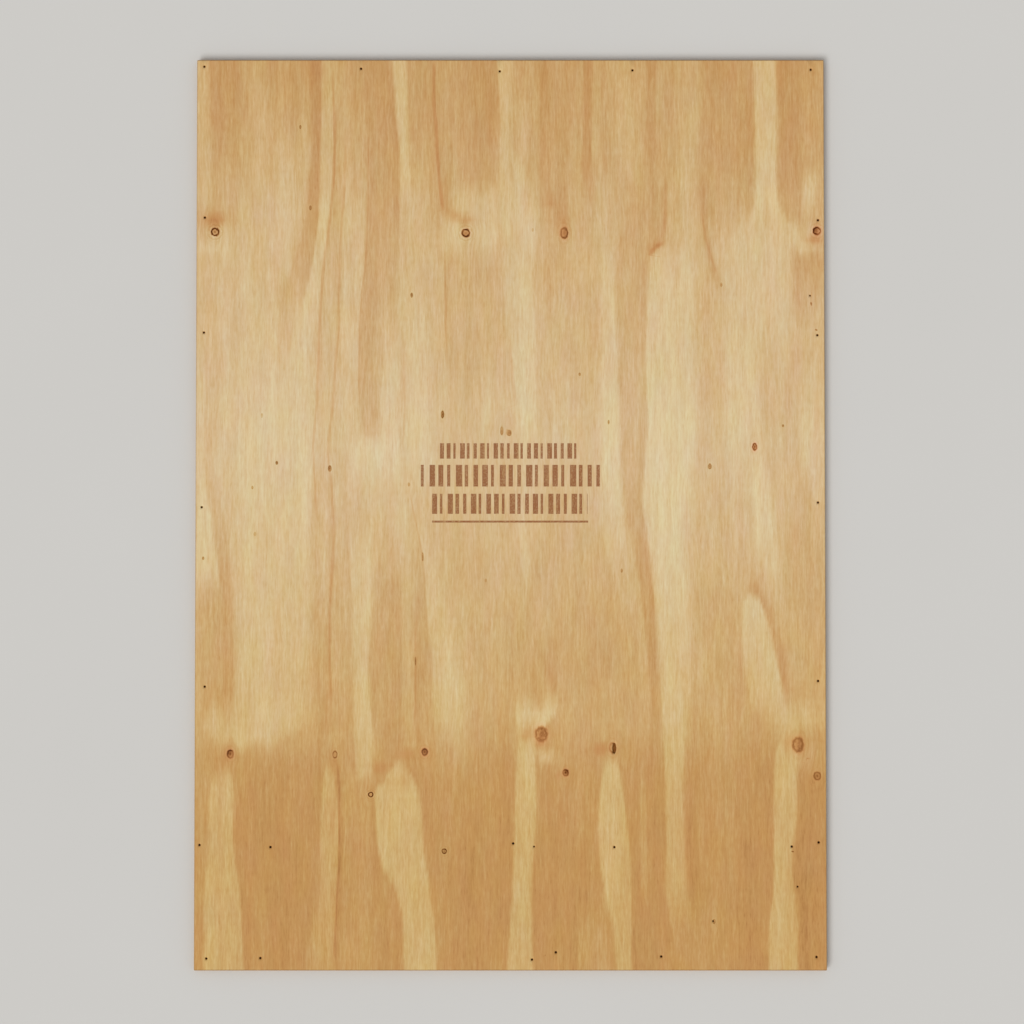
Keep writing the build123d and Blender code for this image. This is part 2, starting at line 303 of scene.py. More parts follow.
pin_knots = [
    (478, 691, 3.2, 8, 0.15, 1.45, 0.4, 0.2, 0.2, 0), (593, 723, 3.4, 9, 0.05, 0.85, 0.1, 0, 0.3, 0),
    (607, 727, 5.4, 6.4, 0.05, 1, 0.1, 0, 0.1, 6), (260, 796, 3.8, 6.2, 0.1, 1.05, 0.3, -0.2, -0.1, 6),
    (157, 785, 2.6, 3.6, 0.1, 1.6, 0.5, 0, 0, 0), (996, 792, 3.8, 6, 0.1, 0.92, 0.25, 0, 0, 7),
    (1019, 439, 2.6, 4.4, 0, 0.7, 0.05, 0, 0, 4), (482, 1535, 4.8, 5.4, 0.58, 0.56, 0.2, 0.1, 0.1, 6),
    (1002, 1670, 3, 5, 0.1, 0.6, 0.05, 0, 0, 6), (440, 967, 1.8, 9, 0.1, 0.8, 0.1, 0, 0, 0),
    (221, 289, 2.6, 5, 0.1, 0.75, 0.05, 0, 0, 2), (201, 131, 2.2, 4, 0.1, 0.85, 0.1, 0, 0, 4),
    (653, 332, 2.2, 4, 0, 0.4, 0, 0, 0, 0), (128, 693, 2.2, 5, 0, 0.6, 0, 0, 0, 0),
    (418, 459, 2.6, 5, 0.05, 1.15, 0.2, 0, 0, 0), (800, 706, 2, 4.4, 0, 1.1, 0, 0, 0, 3),
    (413, 827, 2.2, 4, 0.05, 0.7, 0, 0, 0, 0), (562, 1013, 2.2, 4, 0, 0.55, 0, 0, 0, 2),
    (110, 833, 2.2, 4, 0, 0.85, 0, 0, 0, 0), (825, 994, 2.2, 4, 0.05, 0.75, 0, 0, 0, 0),
    (744, 613, 2.4, 3.4, 0, 0.95, 0, 0, 0, 3), (1138, 713, 2.4, 3, 0, 1, 0, 0, 0, 2),
    (15, 970, 2.4, 3.6, 0, 1.05, 0, 0, 0, 2), (426, 1169, 1.6, 9, 0, 0.7, 0, 0, 0, 0),
    (115, 923, 2.6, 4.4, 0, 0.45, 0, 0, 0, 0),
]
knot_redness = 10.0
pin_redness = -3.0

# Reddish wood beside knots: (across, down, half width, half height, strength)
red_patches = [
    (362, 1372, 20, 14, 0.8), (405, 1347, 22, 10, 0.8), (783, 1340, 14, 14, 1), (703, 1390, 8, 12, 0.8),
    (64, 1352, 14, 16, 0.5), (444, 1350, 16, 16, 0.5), (714, 330, 14, 26, 0.4), (799, 1338, 6, 11, 0.7),
]

# Knots of the back veneer, as the face's
back_knots = [
    (212, 470, 14, 17, 0.55, 0.45, 0.3, 0.2, 0, 6), (700, 505, 11, 14, 0.6, 0.5, 0.3, 0, 0.2, 6),
    (455, 1210, 16, 19, 0.65, 0.5, 0.2, -0.3, 0, 8), (940, 1180, 13, 15, 0.5, 0.45, 0.2, 0.3, 0, 6),
    (1080, 360, 9, 12, 0.8, 0.9, 0.5, 0, 0, 4), (330, 905, 6, 8, 0.6, 0.8, 0.4, 0, 0, 2),
    (820, 880, 5, 7, 0.5, 0.8, 0.3, 0, 0, 2), (150, 1500, 8, 10, 0.8, 0.6, 0.3, 0.3, 0, 3),
    (640, 1590, 7, 9, 0.6, 0.7, 0.3, 0, 0, 3),
]

# Wood colours by tone, from dark knots and latewood to pale earlywood
wood_colours = [
    (55, (80, 40, 12)), (75, (112, 66, 24)), (95, (133, 86, 40)), (115, (154, 106, 57)),
    (131, (171, 122, 71)), (139, (180, 131, 78)), (147, (190, 142, 87)), (155, (194, 148, 92)),
    (163, (199, 157, 102)), (171, (204, 166, 112)), (179, (209, 175, 123)), (187, (214, 183, 135)),
    (195, (218, 191, 146)), (203, (222, 199, 155)), (211, (226, 207, 165)),
]

# The ink mark's rows: (left, right, top, foot, pitch of its bars); no pitch is a solid rule
ink_rows = [
    (473, 744, 747, 777, 13), (436, 783, 789, 831, 17), (458, 759, 845, 884, 15), (458, 760, 897, 901, 0),
]
ink_blur = 0.6

# How much pores and the crushed wood round a nail darken the tone, and how thick grime lies at the rim,
# with painted shadow added along the two ends
pore_depth = 7
nail_stain = 60
side_dirt = 0.35
end_grime_and_shade = 0.75

# Grain that the finish adds to the face and the back, finer than the mesh can hold:
# wavelength across and along the fibres in mm, place in the noise, detail, roughness, strength in tone
grain_layers = {
    "fibre": (2.8, 30, 1.7, 1.0, 0.6, 14),
    "thread": (5.2, 70, 5.3, 0.0, 0.5, 6.5),
    "strand": (13.0, 160, 9.1, 1.0, 0.5, 5),
    "cloud": (40.0, 230, 4.4, 0.0, 0.5, 4),
    "fleck": (4.0, 12, 8.2, 1.0, 0.5, 6.5),
    "hair": (0.55, 9, 7.4, 2.0, 0.6, 9),
}


# Surfaces

lattice_size = 509
fibre_shift = 5
strand_shift = 6
patch_pinkness = -0.22
gate_reach = 2.4
gate_reach_mm = 20
rival_gap_mm = 5
back_ground = 168
back_ring_width = 95.0


def soft_step(distance, softness):
    """0 below -softness, 1 above +softness and 3t^2 - 2t^3 between the two."""
    t = np.clip(0.5 + distance / (2 * softness), 0, 1)
    return t * t * (3 - 2 * t)


def through(points, column, down):
    """A smooth curve through the points: cubic pieces, each point's slope taken from its neighbours."""
    steps = np.array([point[0] for point in points], float)
    values = np.array([point[column] for point in points], float)
    slopes = np.gradient(values, steps)
    piece = np.clip(np.searchsorted(steps, down) - 1, 0, len(steps) - 2)
    span = steps[piece + 1] - steps[piece]
    t = np.clip((down - steps[piece]) / span, 0, 1)
    start = (2 * t ** 3 - 3 * t ** 2 + 1) * values[piece] + (t ** 3 - 2 * t ** 2 + t) * span * slopes[piece]
    end = (3 * t ** 2 - 2 * t ** 3) * values[piece + 1] + (t ** 3 - t ** 2) * span * slopes[piece + 1]
    return start + end


def lattice_noise(u, v, seed):
    """Smooth random values from -1 to 1: a seeded lattice, blended by 3t^2 - 2t^3 between its nodes."""
    lattice = np.random.default_rng(seed).uniform(-1, 1, (lattice_size, lattice_size))
    column, row = np.floor(u).astype(int), np.floor(v).astype(int)
    s, t = u - column, v - row
    s, t = s ** 2 * (3 - 2 * s), t ** 2 * (3 - 2 * t)
    left, right = column % lattice_size, (column + 1) % lattice_size
    near, far = row % lattice_size, (row + 1) % lattice_size
    return ((lattice[left, near] * (1 - s) + lattice[right, near] * s) * (1 - t)
            + (lattice[left, far] * (1 - s) + lattice[right, far] * s) * t)


def bell(spot, across, down, wide=1.0, tall=1.0):
    """A bell over a spot: e to minus the squared distance, in so many of the spot's half sizes."""
    reach = ((across - spot[0]) / (wide * spot[2])) ** 2 + ((down - spot[1]) / (tall * spot[3])) ** 2
    return np.exp(-reach)


def wood_hue(tone, yellow, pink=0.0):
    """How pink and how yellow the wood is: pink less a tenth of the tone, yellow plus 0.12 of it."""
    return np.stack([pink - 0.10 * tone, 0.12 * tone + yellow, np.zeros_like(tone)], -1)


def face_tone(across, down):
    """Tone and hue of the face: each band is mixed over the ground by the product of its four soft sides.

    The place is first shifted along the grain by fine noise, which makes slanting sides fibrous. A patch is
    shifted in full only where it is long, so that a short one stays in its place.
    """
    fibre = lattice_noise(across / 5.0, down / 160.0, 11)
    strand = lattice_noise(across / 14.0, down / 420.0, 12)
    sample = np.clip(down + fibre_shift * fibre + strand_shift * strand, 0, length_mm)
    place = across + 1.5 * lattice_noise(across / 40.0, down / 90.0, 13)
    tone = np.zeros_like(across)
    for depth, left_soft, right_soft, top_soft, foot_soft, sides in bands:
        inside = soft_step(place - through(sides, 1, sample), side_softness * left_soft)
        inside = inside * soft_step(through(sides, 2, sample) - place, side_softness * right_soft)
        if sides[0][0] > 0:
            inside = inside * soft_step(sample - sides[0][0], top_soft)
        if sides[-1][0] < length_mm - 1:
            inside = inside * soft_step(sides[-1][0] - sample, foot_soft)
        tone = tone * (1 - inside) + depth * inside
    patched = np.zeros_like(across)
    for patch in soft_patches:
        lag = down + (sample - down) * min(patch[3] / 60, 1)
        patched = patched + patch[4] * bell(patch, place, lag)
    hue = wood_hue(tone, through(ground_yellow, 1, down), patch_pinkness * np.minimum(patched, 0))
    tone = band_contrast * tone + patched + 2.2 * lattice_noise(across / 32.0, down / 420.0, 14)
    tone = tone + 2.2 * lattice_noise(across / 9.0, down / 300.0, 15)
    # The ground adds painted light: paler at mid-height, darker towards the top and the foot
    return tone + through(ground_tones_with_painted_light, 1, down), hue


def back_tone(across, down):
    """Tone and hue of the back veneer.

    Growth rings are whole steps of a slowly wandering height, and each is dark towards its end.
    """
    wander = 2.6 * lattice_noise(across / 330.0 + 7.3, down / 900.0 + 2.1, 21)
    wander = wander + 0.9 * lattice_noise(across / 110.0, down / 420.0, 22)
    fibre = lattice_noise(across / 5.0, down / 160.0, 23)
    ring = across / back_ring_width + wander + 0.02 * fibre
    whole = np.floor(ring)
    t = ring - whole
    depth = 7 * lattice_noise(whole * 3.7, whole * 1.3, 24)
    ends = 1 - soft_step(t - 0.97, 0.03)
    dark = soft_step(t - 0.55, 0.40) * ends
    tone = 6 - 18 * dark + depth * ends
    return back_ground + tone + 2.5 * lattice_noise(across / 20.0, down / 300.0, 25), wood_hue(tone, 1.5)


def nearest(spots, across, down):
    """Each place's offset from its nearest spot in half sizes, the spot's looks, darker side and number.

    A gate goes with the offset: it falls to 0 past its two reaches, and wherever a second spot is as near.
    The darker side is the offset's share along the direction in which the spot grows darker.
    """
    best, second = np.full(across.shape, 1e9), np.full(across.shape, 1e9)
    chosen = np.zeros(across.shape, int)
    for number, spot in enumerate(spots):
        distance = np.hypot(across - spot[0], down - spot[1])
        nearer = distance < best
        second = np.where(nearer, best, np.minimum(second, distance))
        best = np.where(nearer, distance, best)
        chosen = np.where(nearer, number, chosen)
    table = np.array([spot[:9] for spot in spots], float)[chosen]
    offset_x, offset_y = (across - table[:, 0]) / table[:, 2], (table[:, 1] - down) / table[:, 3]
    reach = np.hypot(offset_x, offset_y)
    gate = np.maximum(1 - soft_step(reach - gate_reach, 0.3), 1 - soft_step(best - gate_reach_mm, 3))
    gate = gate * soft_step(second - best - rival_gap_mm, 3)
    darker = table[:, 7] * offset_x - table[:, 8] * offset_y
    return np.stack([offset_x, offset_y, gate], -1), table[:, 4:7], darker, chosen


def halos(spots, across, down):
    """Pale wood round each knot: a bell of its distance in half sizes, longer along the grain."""
    return sum(spot[9] * bell(spot, across, down, 2.3, 2.6) for spot in spots)


def flow_round(spots, across, down):
    """Where each place's fibre would run without knots: they push it aside, by a bell along the grain."""
    flow = across + 3.0 * lattice_noise(across / 160.0, down / 500.0, 31)
    for spot_across, spot_down, spot_width, spot_height, *_ in spots:
        aside = (across - spot_across) / spot_width
        bulge = 1.2 * spot_width * aside / (1 + aside ** 2)
        flow = flow - bulge * np.exp(-((down - spot_down) / (2.8 * spot_height)) ** 2)
    return flow


def line_gap(lines, across, down):
    """Signed distance to the nearest growth line, in its half widths, and how deep the line is there.

    The depth fades towards a line's ends and halfway to the next: no line shows where the sign turns.
    """
    gap, rank, rival = np.full(across.shape, 40.0), np.full(across.shape, 1e6), np.full(across.shape, 1e6)
    depth = np.zeros_like(across)
    for line_depth, half_width_mm, fade, points in lines:
        there = np.clip(down, points[0][0], points[-1][0])
        slope = through(points, 1, there + 0.5) - through(points, 1, there - 0.5)
        distance = (across - through(points, 1, there)) / (half_width_mm * np.hypot(1, slope))
        inside = soft_step(down - points[0][0] - fade, fade) * soft_step(points[-1][0] - fade - down, fade)
        order = np.abs(distance) + 1000 * (inside <= 0)
        nearer = order < rank
        rival = np.where(nearer, rank, np.minimum(rival, order))
        rank = np.where(nearer, order, rank)
        gap = np.where(nearer, distance, gap)
        depth = np.where(nearer, line_depth * inside, depth)
    depth = depth * soft_step(rival - rank - 1.0, 0.8) * (1 - soft_step(np.abs(gap) - 3.5, 1.0))
    return np.clip(gap, -10, 10), depth


# Meshes

def grid_lines(half_span, cells, near=()):
    """Lines across a span: corner lines at both ends and even steps between, closer where near asks for it.

    The steps are found by turning round the running sum of a density that is 1, and more near each place.
    """
    inner = half_span - corner_radius
    dense = np.linspace(-inner, inner, 4001)
    density = np.ones_like(dense)
    for place, reach, extra in near:
        density = density + extra * np.exp(-((dense - place) / reach) ** 2)
    total = np.concatenate([[0], np.cumsum((density[1:] + density[:-1]) / 2)])
    steps = np.interp(np.linspace(0, total[-1], cells + 1), total, dense)
    return np.concatenate([[-half_span], steps, [half_span]])


def cut_block(lines, place, cells):
    """First line of a block of so many cells that is centred on a place and stays off the outer cells."""
    first = int(np.argmin(np.abs((lines[:-cells] + lines[cells:]) / 2 - place)))
    return min(max(first, 1), len(lines) - 2 - cells)


def block_rim(first_column, first_row, columns, rows):
    """Grid places round a block, anticlockwise from its lower left corner."""
    along, up = np.arange(columns), np.arange(rows)
    column = np.concatenate([along, np.full(rows, columns), columns - along, np.zeros(rows, int)])
    row = np.concatenate([np.zeros(columns, int), up, np.full(columns, rows), rows - up])
    return first_column + column, first_row + row


# The sheet's grid: coarse columns, more of them on a side that shows, and rows that close up at the knots
# and the flame, each by (place, reach, extra density)
column_count = 158
fine_per_column = 3
row_count = 118
close_rows = [(0.545, 0.050, 1.3), (-0.462, 0.060, 1.3), (-0.170, 0.060, 0.9)]
coarse_lines = grid_lines(half_width, column_count)
row_lines = grid_lines(half_length, row_count, close_rows)
outline_column, outline_row = block_rim(0, 0, len(coarse_lines) - 1, len(row_lines) - 1)

# How far the cut block round a hole reaches past it
block_reach = (2.6 * MM, 4.0 * MM)

# The texture: bare margins, where the sawn edge's top lies in its row and how much of the row it fills, and
# how much of its share the wall of a hole fills
side_margin = 0.004
edge_margin = 0.02
hole_margin = 0.01
row_top = 0.94
row_fill = 0.88
hole_fill = 0.9


def new_object(name, data):
    """A new object in the scene, at the origin."""
    made = bpy.data.objects.new(name, data)
    bpy.context.scene.collection.objects.link(made)
    return made


class Shell:
    """A closed mesh gathered as arrays of corners, faces, texture places and finishes."""

    def __init__(self):
        self.corners = []
        self.count = 0
        self.faces = []
        self.places = []
        self.finishes = []

    def add_corners(self, points):
        """Adds corners and returns their numbers."""
        points = np.asarray(points, float).reshape(-1, 3)
        self.corners.append(points)
        self.count += len(points)
        return np.arange(self.count - len(points), self.count)

    def add_faces(self, faces, u, v, finish):
        """Adds faces, all with the same number of corners, with a texture place for each corner."""
        self.faces.append(faces)
        self.places.append(np.stack([u, v], -1).reshape(-1, 2))
        self.finishes.append(np.full(len(faces), finish))

    def mesh(self, name, finishes):
        """The Blender object, without the corners that no face uses."""
        flat = np.concatenate([faces.ravel() for faces in self.faces])
        used, fresh = np.unique(flat, return_inverse=True)
        sizes = np.concatenate([np.full(len(faces), faces.shape[1]) for faces in self.faces])
        mesh = bpy.data.meshes.new(name)
        mesh.vertices.add(len(used))
        mesh.vertices.foreach_set("co", np.concatenate(self.corners)[used].astype(np.float32).ravel())
        mesh.loops.add(len(flat))
        mesh.loops.foreach_set("vertex_index", fresh.astype(np.int32))
        mesh.polygons.add(len(sizes))
        mesh.polygons.foreach_set("loop_start", (np.cumsum(sizes) - sizes).astype(np.int32))
        for finish in finishes:
            mesh.materials.append(finish)
        mesh.polygons.foreach_set("material_index", np.concatenate(self.finishes).astype(np.int32))
        mesh.update(calc_edges=True)
        layer = mesh.uv_layers.new(name="OFBake")
        layer.data.foreach_set("uv", np.concatenate(self.places).astype(np.float32).ravel())
        mesh.validate()
        return new_object(name, mesh)


def ring_places(inset):
    """The sheet's outline on the grid, drawn in by an inset, anticlockwise from the lower left corner.

    A place p has the clamped centre c, inside the rectangle by the corner radius r, and goes to
    c + n (r - inset), n being the direction from c to p.
    """
    x, y = coarse_lines[outline_column], row_lines[outline_row]
    centre_x = np.clip(x, corner_radius - half_width, half_width - corner_radius)
    centre_y = np.clip(y, corner_radius - half_length, half_length - corner_radius)
    away = np.hypot(x - centre_x, y - centre_y)
    radius = corner_radius - inset
    return centre_x + (x - centre_x) / away * radius, centre_y + (y - centre_y) / away * radius


def along_edge(distance, span_mm):
    """A distance from the near end of a span, or below zero from its far end, as mm from the near end."""
    return distance if distance > 0 else span_mm + distance


def openings(with_open_knot):
    """The holes through a veneer: (x, y, half width, half length, block columns, block rows)."""
    places = [(along_edge(a, width_mm), length_mm - b, nail_radius) for a, b in top_row]
    places += [(along_edge(a, width_mm), b, nail_radius) for a, b in bottom_row + joist_row]
    places += [(b, along_edge(a, length_mm), nail_radius) for a, b in left_row]
    places += [(width_mm - b, along_edge(a, length_mm), nail_radius) for a, b in right_row]
    places += [(along_edge(a, width_mm), b, thin_nail_radius) for a, b in thin_nails]
    places += [(width_mm - b, along_edge(a, length_mm), thin_nail_radius) for a, b in thin_right_nails]
    holes = [(x * MM - half_width, y * MM - half_length, r * MM, r * MM, 3, 3) for x, y, r in places]
    if with_open_knot:
        holes.append((half_width - open_knot_from_right * MM, open_knot_from_bottom * MM - half_length,
                      open_knot_half_width * MM, open_knot_half_length * MM, 7, 3))
    return holes


def flat_side(shell, fine, rim, holes, upward, finish, strip_v):
    """One flat side of a veneer: a grid, the outline's ring round it, and a block opened round each hole.

    fine is how many of its columns make a coarse one, rim the (inset, height) of its outer ring, strip_v
    the part of the texture's height that it fills. Returns the corners of the ring and of each hole's rim.
    """
    columns = grid_lines(half_width, column_count * fine)
    last_column, last_row = len(columns) - 1, len(row_lines) - 1
    inner = np.concatenate([[0], np.arange(1, last_column, fine), [last_column]])
    ring_column, ring_row = inner[outline_column], outline_row
    grid_x, grid_y = np.meshgrid(columns, row_lines)
    grid_x[ring_row, ring_column], grid_y[ring_row, ring_column] = ring_places(rim[0])
    opened = np.zeros((last_row, last_column), bool)
    rims = []
    for x, y, half_x, half_y, block_columns, block_rows in holes:
        column, row = cut_block(columns, x, block_columns), cut_block(row_lines, y, block_rows)
        opened[row:row + block_rows, column:column + block_columns] = True
        rim_column, rim_row = block_rim(column, row, block_columns, block_rows)
        aside = 2 * (rim_column - column) / block_columns - 1
        ahead = 2 * (rim_row - row) / block_rows - 1
        grid_x[rim_row, rim_column] = x + (half_x + block_reach[0]) * aside
        grid_y[rim_row, rim_column] = y + (half_y + block_reach[1]) * ahead
        rims.append((rim_row, rim_column))
    numbers = shell.add_corners(np.stack([grid_x, grid_y, np.full_like(grid_x, rim[1])], -1))
    numbers = numbers.reshape(grid_x.shape)

    def put(faces):
        """Adds faces that run anticlockwise seen from above, turned over on a lower side."""
        faces = faces if upward else faces[:, ::-1]
        points = np.concatenate(shell.corners)[faces]
        u = side_margin + (1 - 2 * side_margin) * (points[..., 0] + half_width) / (2 * half_width)
        v = (points[..., 1] + half_length) / (2 * half_length)
        shell.add_faces(faces, u, strip_v[0] + (strip_v[1] - strip_v[0]) * v, finish)

    quads = np.stack([numbers[:-1, :-1], numbers[:-1, 1:], numbers[1:, 1:], numbers[1:, :-1]], -1)
    put(quads[1:-1][~opened[1:-1]])
    for edge_row, next_row in ((0, 1), (last_row, last_row - 1)):
        for span in sorted({1, fine}):
            starts = np.flatnonzero(np.diff(inner) == span)
            left, right = inner[starts], inner[starts + 1]
            far = [numbers[next_row, right - step] for step in range(span + 1)]
            strip = np.stack([numbers[edge_row, left], numbers[edge_row, right], *far], -1)
            put(strip if edge_row == 0 else strip[:, ::-1])
    hole_rims = []
    for (x, y, half_x, half_y, block_columns, _), (rim_row, rim_column) in zip(holes, rims):
        count = len(rim_row)
        turn = math.tau * (np.arange(count) - block_columns / 2) / count - math.pi / 2
        round_x, round_y = x + half_x * np.cos(turn), y + half_y * np.sin(turn)
        inner_ring = shell.add_corners(np.stack([round_x, round_y, np.full(count, rim[1])], -1))
        outer_ring = numbers[rim_row, rim_column]
        put(np.stack([outer_ring, np.roll(outer_ring, -1), np.roll(inner_ring, -1), inner_ring], -1))
        hole_rims.append(inner_ring)
    return numbers[ring_row, ring_column], hole_rims


def wall_band(shell, low, high, start_u, end_u, low_v, high_v, finish):
    """A band of faces between two rings of corners, with the texture places of its sides."""
    faces = np.stack([low, np.roll(low, -1), np.roll(high, -1), high], -1)
    u = np.stack([start_u, end_u, end_u, start_u], -1)
    v = np.stack([low_v, low_v, high_v, high_v], -1)
    shell.add_faces(faces, u, np.broadcast_to(v, u.shape), finish)


def edge_walls(shell, rings, strip_v, texture_rows, finish):
    """The sawn edges: faces between neighbouring rings, from the top ring down.

    Texture places run along the outline in so many rows, one above another, and down the profile in each.
    """
    x, y = ring_places(0.0)
    run = np.concatenate([[0], np.cumsum(np.hypot(np.roll(x, -1) - x, np.roll(y, -1) - y))])
    row_length = run[-1] / texture_rows
    row = np.minimum((run[:-1] + run[1:]) / 2 // row_length, texture_rows - 1)
    start_u, end_u = [edge_margin + (1 - 2 * edge_margin) * (end - row * row_length) / row_length
                      for end in (run[:-1], run[1:])]
    profile = [np.concatenate(shell.corners)[ring[len(ring) // 8]] for ring in rings]
    fall = np.concatenate([[0], np.cumsum([math.dist(a, b) for a, b in zip(profile, profile[1:])])])
    row_height = (strip_v[1] - strip_v[0]) / texture_rows
    heights = [strip_v[0] + row_height * (row + row_top - row_fill * share) for share in fall / fall[-1]]
    for upper, lower, upper_v, lower_v in zip(rings, rings[1:], heights, heights[1:]):
        wall_band(shell, lower, upper, start_u, end_u, lower_v, upper_v, finish)


def hole_walls(shell, upper_rims, lower_rims, strip_v, finish):
    """The wall of each hole, from its upper rim down to its lower one, facing into the hole."""
    scale = (1 - 2 * hole_margin) / len(upper_rims)
    for number, (upper, lower) in enumerate(zip(upper_rims, lower_rims)):
        start = number + hole_fill * np.arange(len(upper)) / len(upper)
        start_u, end_u = hole_margin + scale * start, hole_margin + scale * (start + hole_fill / len(upper))
        wall_band(shell, upper, lower, start_u, end_u, strip_v[1], strip_v[0], finish)


def veneer_layer(name, profile, fine, finishes, holes, layout):
    """A closed layer of the sheet: two flat sides, its sawn edge and its holes.

    The profile is (inset, height) pairs of its edge from the top side down, fine how many columns of each
    side make a coarse one, and the layout gives each part its strip of the texture.
    """
    shell = Shell()
    top_ring, top_rims = flat_side(shell, fine[0], profile[0], holes, True, 0, layout["top"])
    foot_ring, foot_rims = flat_side(shell, fine[1], profile[-1], holes, False, 2, layout["foot"])
    rings = [top_ring]
    for inset, height in profile[1:-1]:
        x, y = ring_places(inset)
        rings.append(shell.add_corners(np.stack([x, y, np.full_like(x, height)], -1)))
    rings.append(foot_ring)
    edge_walls(shell, rings, layout["edge"], layout["edge_rows"], 1)
    hole_walls(shell, top_rims, foot_rims, layout["holes"], 3)
    piece = shell.mesh(name, finishes)
    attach(piece, "root")
    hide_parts("plywood_sheet")
    return piece


# Finishes

def srgb(red, green, blue):
    """A colour as a painter's 0 to 255 values, turned into the linear light that shaders mix."""
    values = np.array([red, green, blue]) / 255
    linear = np.where(values <= 0.04045, values / 12.92, ((values + 0.055) / 1.055) ** 2.4)
    return (*linear.tolist(), 1.0)


def operator(operation, turned=False):
    """A method that adds one Math node, with its two inputs the other way round where turned."""

    def method(self, *others):
        inputs = (*others, self) if turned else (self, *others)
        return self.finish.node("ShaderNodeMath", {"operation": operation}, dict(enumerate(inputs)))

    return method


class Value:
    """A shader socket in an expression: each operator adds the Math node that works it out."""

    def __init__(self, finish, socket):
        self.finish = finish
        self.socket = socket

    __add__ = __radd__ = operator("ADD")
    __mul__ = __rmul__ = operator("MULTIPLY")
    __sub__ = operator("SUBTRACT")
    __rsub__ = operator("SUBTRACT", turned=True)
    __truediv__ = operator("DIVIDE")
    __pow__ = operator("POWER")
    __abs__ = operator("ABSOLUTE")
    above = operator("GREATER_THAN")
    at_least = operator("MAXIMUM")
    at_most = operator("MINIMUM")
    floor = operator("FLOOR")
    remainder = operator("FLOORED_MODULO")
    sine = operator("SINE")

    def step(self, start, end):
        """0 before start, 1 after end and 3t^2 - 2t^3 between."""
        return self.finish.node("ShaderNodeMapRange", {"interpolation_type": "SMOOTHSTEP"},
                                {"Value": self, "From Min": start, "From Max": end})


class Finish:
    """The nodes of a material or of the world, added as expressions."""

    def __init__(self, owner):
        owner.use_nodes = True
        self.owner = owner
        self.tree = owner.node_tree
        self.tree.nodes.clear()

    def node(self, kind, settings=None, sockets=None, out=0):
        """Adds a node, sets it, gives its sockets values or links, and returns one of its outputs."""
        made = self.tree.nodes.new(kind)
        for key, value in (settings or {}).items():
            if key == "stops":
                for extra in value[2:]:
                    made.color_ramp.elements.new(extra[0])
                for element, (place, colour) in zip(made.color_ramp.elements, value):
                    element.position = place
                    element.color = colour
            else:
                setattr(made, key, value)
        for key, value in (sockets or {}).items():
            if isinstance(value, Value):
                self.tree.links.new(value.socket, made.inputs[key])
            else:
                made.inputs[key].default_value = value
        return Value(self, made.outputs[out]) if made.outputs else made

    def attribute(self, name, out="Fac"):
        """What dress keeps under a name at the corners."""
        return self.node("ShaderNodeAttribute", {"attribute_name": name}, out=out)

    def parts(self, vector):
        """The three numbers of a vector."""
        return [self.node("ShaderNodeSeparateXYZ", sockets={0: vector}, out=k) for k in range(3)]

    def place(self):
        """The place on the object, in mm, as three values."""
        return [part * (1 / MM) for part in self.parts(self.node("ShaderNodeTexCoord", out="Object"))]

    def vector(self, x, y, z):
        """Three numbers as a vector."""
        return self.node("ShaderNodeCombineXYZ", sockets={0: x, 1: y, 2: z})

    def noise(self, x, y, z=0.0, detail=0.0, roughness=0.5):
        """Noise from about -1 to 1 at a place given in wavelengths."""
        sockets = {"Vector": self.vector(x, y, z), "Scale": 1.0, "Detail": detail, "Roughness": roughness}
        return self.node("ShaderNodeTexNoise", {"noise_dimensions": "3D"}, sockets, out="Fac") * 2 - 1

    def wood(self, tone):
        """The wood's colour at a tone from 0 to 255."""
        low, high = wood_colours[0][0], wood_colours[-1][0]
        stops = [((stop - low) / (high - low), srgb(*colour)) for stop, colour in wood_colours]
        share = (tone - low) / (high - low)
        return self.node("ShaderNodeValToRGB", {"stops": stops}, {"Fac": share}, out="Color")

    def mix(self, share, first, second):
        """Two colours mixed."""
        return self.node("ShaderNodeMix", {"data_type": "RGBA"}, {0: share, 6: first, 7: second}, out=2)

    def close(self, colour, roughness, height, bump_distance, specular):
        """The Principled shader, with its bump, as the material's surface."""
        bump = {"Strength": 1.0, "Distance": bump_distance, "Height": height}
        normal = self.node("ShaderNodeBump", sockets=bump)
        shader = self.node("ShaderNodeBsdfPrincipled", sockets={
            "Base Color": colour, "Roughness": roughness, "Normal": normal, "Specular IOR Level": specular})
        self.node("ShaderNodeOutputMaterial", sockets={"Surface": shader})
        return self.owner


def new_finish(name):
    """An empty material's finish."""
    return Finish(bpy.data.materials.new(name))


knot_red = srgb(196, 138, 86)
# Brown of grime, also painted along the face's two ends as the shadow of its edge
dirt_and_shade_brown = srgb(125, 95, 65)
glue_brown = srgb(88, 54, 32)
# Painted shade inside the gaps of an inner ply
gap_shade_dark = srgb(58, 38, 24)
# Dark glue brown of a glued side, also painted on a nail hole's wall as the shade inside the deep hole
glue_and_hole_shade_brown = srgb(112, 60, 8)
ink_brown = srgb(142, 84, 46)


